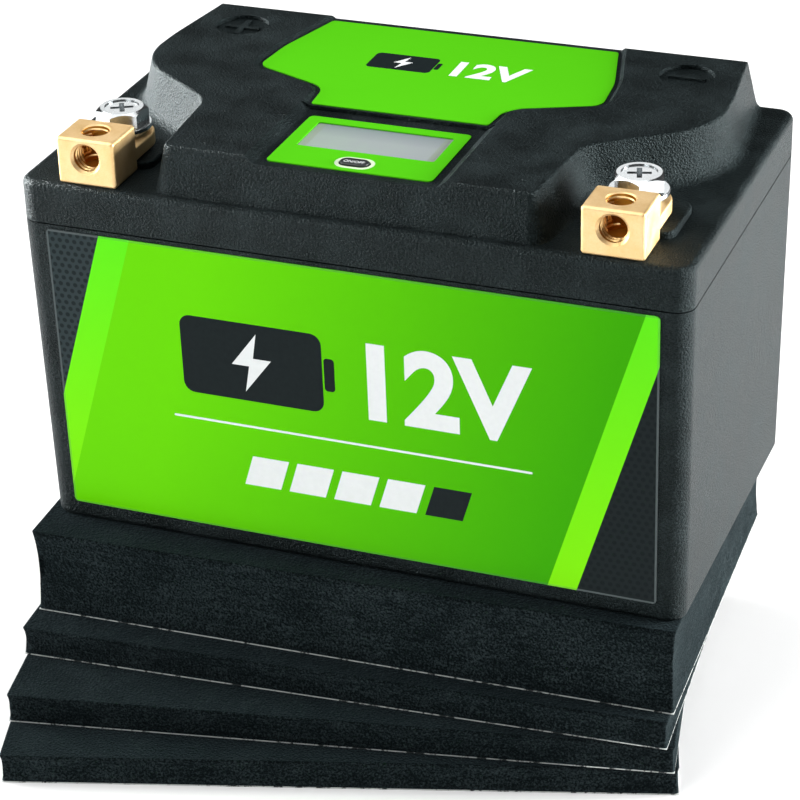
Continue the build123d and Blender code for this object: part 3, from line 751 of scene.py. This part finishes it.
def lettering(name, text, height, place, plane, finish, body="battery", weight=0.0, squeeze=1.0):
    """Flat characters, centred on a place in millimetres."""
    curve = bpy.data.curves.new(name, "FONT")
    curve.body = text
    curve.size = 1.0
    curve.align_x = "CENTER"
    curve.align_y = "CENTER"
    curve.offset = weight
    curve.fill_mode = "BOTH"
    holder = bpy.data.objects.new(name + "_outline", curve)
    bpy.context.scene.collection.objects.link(holder)
    bpy.context.view_layer.update()
    mesh = bpy.data.meshes.new_from_object(holder.evaluated_get(bpy.context.evaluated_depsgraph_get()))
    bpy.data.objects.remove(holder)
    top = max(v.co.y for v in mesh.vertices)
    foot = min(v.co.y for v in mesh.vertices)
    middle_y = (top + foot) / 2
    scale = height / (top - foot) * MM
    for v in mesh.vertices:
        x = v.co.x * scale * squeeze + place[0] * MM
        y = (v.co.y - middle_y) * scale + place[1] * MM
        v.co = Vector((x, y, INK_THICKNESS))
    mesh.name = name
    mesh.transform(plane)
    shape = bpy.data.objects.new(name, mesh)
    bpy.context.scene.collection.objects.link(shape)
    return dress(shape, finish, body)


def rounded_box(x, y, width, height, radius, corner_steps=6):
    """A closed outline round a rounded rectangle, centred on x, y."""
    outline = []
    for sign_x, sign_y, start in ((1, -1, -90), (1, 1, 0), (-1, 1, 90), (-1, -1, 180)):
        for step in range(corner_steps + 1):
            angle = math.radians(start + 90 * step / corner_steps)
            outline.append(
                (
                    x + sign_x * (width / 2 - radius) + radius * math.cos(angle),
                    y + sign_y * (height / 2 - radius) + radius * math.sin(angle),
                )
            )
    return outline


def lightning(x, y, height):
    """A closed zigzag bolt, centred on x, y."""
    shape = [(0.10, 0.50), (-0.32, -0.06), (-0.04, -0.06), (-0.12, -0.50), (0.32, 0.08), (0.03, 0.08)]
    return [(x + px * height, y + py * height) for px, py in shape]


def print_mark(prefix, plane, x, y, scale, dark, pale):
    """A battery pictogram with a lightning bolt, and the voltage beside it, in millimetres at scale 1."""
    body = rounded_box(x - 22 * scale, y, 33 * scale, 19 * scale, 2.6 * scale)
    cap = rounded_box(x - 3.9 * scale, y, 2.4 * scale, 8 * scale, 0.8 * scale)
    printed(prefix + "_pictogram", [body, cap], plane, dark)
    raised = plane @ Matrix.Translation((0, 0, INK_THICKNESS))
    printed(prefix + "_lightning", [lightning(x - 22 * scale, y, 14.5 * scale)], raised, pale)
    lettering(prefix + "_voltage", "12V", 19 * scale, (x + 20.5 * scale, y), plane, pale, weight=0.035)


# The front label's row of charge bars, in millimetres from its middle.
BAR_COUNT = 5
BAR_LEFT = -25.5
BAR_BOTTOM = -22.0
BAR_SPACING = 10.6
BAR_WIDE = 8.6
BAR_TALL = 7.5


def charge_bar(index):
    """One leaning bar's closed outline."""
    left, lean = BAR_LEFT + BAR_SPACING * index, BAR_TALL * PRINT_LEAN
    right, top = left + BAR_WIDE, BAR_BOTTOM + BAR_TALL
    return [(left, BAR_BOTTOM), (right, BAR_BOTTOM), (right + lean, top), (left + lean, top)]


def print_labels():
    dark, pale = materials["ink_dark"], materials["ink_pale"]
    front = print_plane("front_label", (0, -1, 0))
    print_mark("front", front, x=0.0, y=9.0, scale=1.0, dark=dark, pale=pale)
    printed("front_rule", [rounded_box(0, -7.0, 83, 0.55, 0.2, 2)], front, pale)
    bars = [charge_bar(index) for index in range(BAR_COUNT)]
    printed("front_charge_bars", bars[:-1], front, pale)
    printed("front_last_bar", bars[-1:], front, dark)
    top = print_plane("top_label", (0, 0, 1))
    print_mark("top", top, x=0.5, y=4.0, scale=0.46, dark=dark, pale=pale)
    low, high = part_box("on_off_button")
    button = Matrix.Translation(((low.x + high.x) / 2, (low.y + high.y) / 2, high.z))
    look = {"height": 1.15, "place": (0, -0.3), "weight": 0.01, "squeeze": 0.8}
    lettering("button_lettering", "ON/OFF", plane=button, finish=pale, body="on_off_button", **look)


print_labels()


# --- Stage and light -----------------------------------------------------------------------
FLOOR_REACH = 6.0
FLOOR_GAP = 0.0001
MIDDLE = (0.0, 0.0, 0.08)
# Each light's name, place, size and power. All of them face the middle.
LIGHTS = (
    ("overhead", (0.0, 0.0, 1.5), (1.4, 1.4), 10.5),
    ("over_left", (-0.90, 0.10, 1.10), (0.7, 0.7), 8.0),
    ("front_left", (-0.45, -0.95, 0.95), (0.7, 0.5), 7.0),
    ("left_low", (-0.90, -0.12, 0.16), (0.5, 0.3), 13.0),
    ("right_low", (1.00, 0.30, 0.25), (0.5, 0.4), 34.0),
    ("bolt_sheen", (-0.32, 0.80, 0.60), (0.5, 0.35), 0.7),
    ("lid_rim", (-0.90, 0.06, 0.20), (0.15, 0.25), 34.0),
)
BRIGHT_PARTS = ("bolt", "flat_washer", "spring_washer", "terminal_block")


def make_floor():
    reach = FLOOR_REACH
    corners = [(-reach, -reach, 0), (reach, -reach, 0), (reach, reach, 0), (-reach, reach, 0)]
    floor = mesh_object("floor", corners, [(0, 1, 2, 3)])
    floor.location.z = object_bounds()[0].z - FLOOR_GAP
    paint = Paint("floor_paper")
    paint.base(paint.colour((0.86, 0.86, 0.86), (0.90, 0.90, 0.90), paint.noise(60.0, detail=3.0)))
    paint.rough(paint.noise(20.0) * 0.2 + 0.7)
    floor.data.materials.append(paint.material)


def area_light(name, place, size, power):
    light = bpy.data.lights.new(name, "AREA")
    light.shape = "RECTANGLE"
    light.size, light.size_y = size
    light.energy = power
    holder = bpy.data.objects.new(name, light)
    holder.location = place
    holder.rotation_mode = "QUATERNION"
    aim = Vector(MIDDLE) - Vector(place)
    holder.rotation_quaternion = aim.to_track_quat("-Z", "Y")
    bpy.context.scene.collection.objects.link(holder)


def light_only(light_name, node_names):
    """Lets one light fall only on some of the CAD nodes."""
    lit = bpy.data.collections.new(light_name + "_receivers")
    for name in node_names:
        lit.objects.link(nodes[name])
    bpy.data.objects[light_name].light_linking.receiver_collection = lit


def light_stage():
    world = bpy.data.worlds.new("studio")
    world.use_nodes = True
    background = next(n for n in world.node_tree.nodes if n.type == "BACKGROUND")
    background.inputs["Color"].default_value = (1.0, 1.0, 1.0, 1.0)
    background.inputs["Strength"].default_value = 0.05
    bpy.context.scene.world = world
    for light in LIGHTS:
        area_light(*light)
    light_only("lid_rim", ["lid"])
    light_only("bolt_sheen", [f"{pole}_{part}" for pole in POLES for part in BRIGHT_PARTS])


make_floor()
light_stage()
bpy.context.scene.view_settings.view_transform = "Standard"
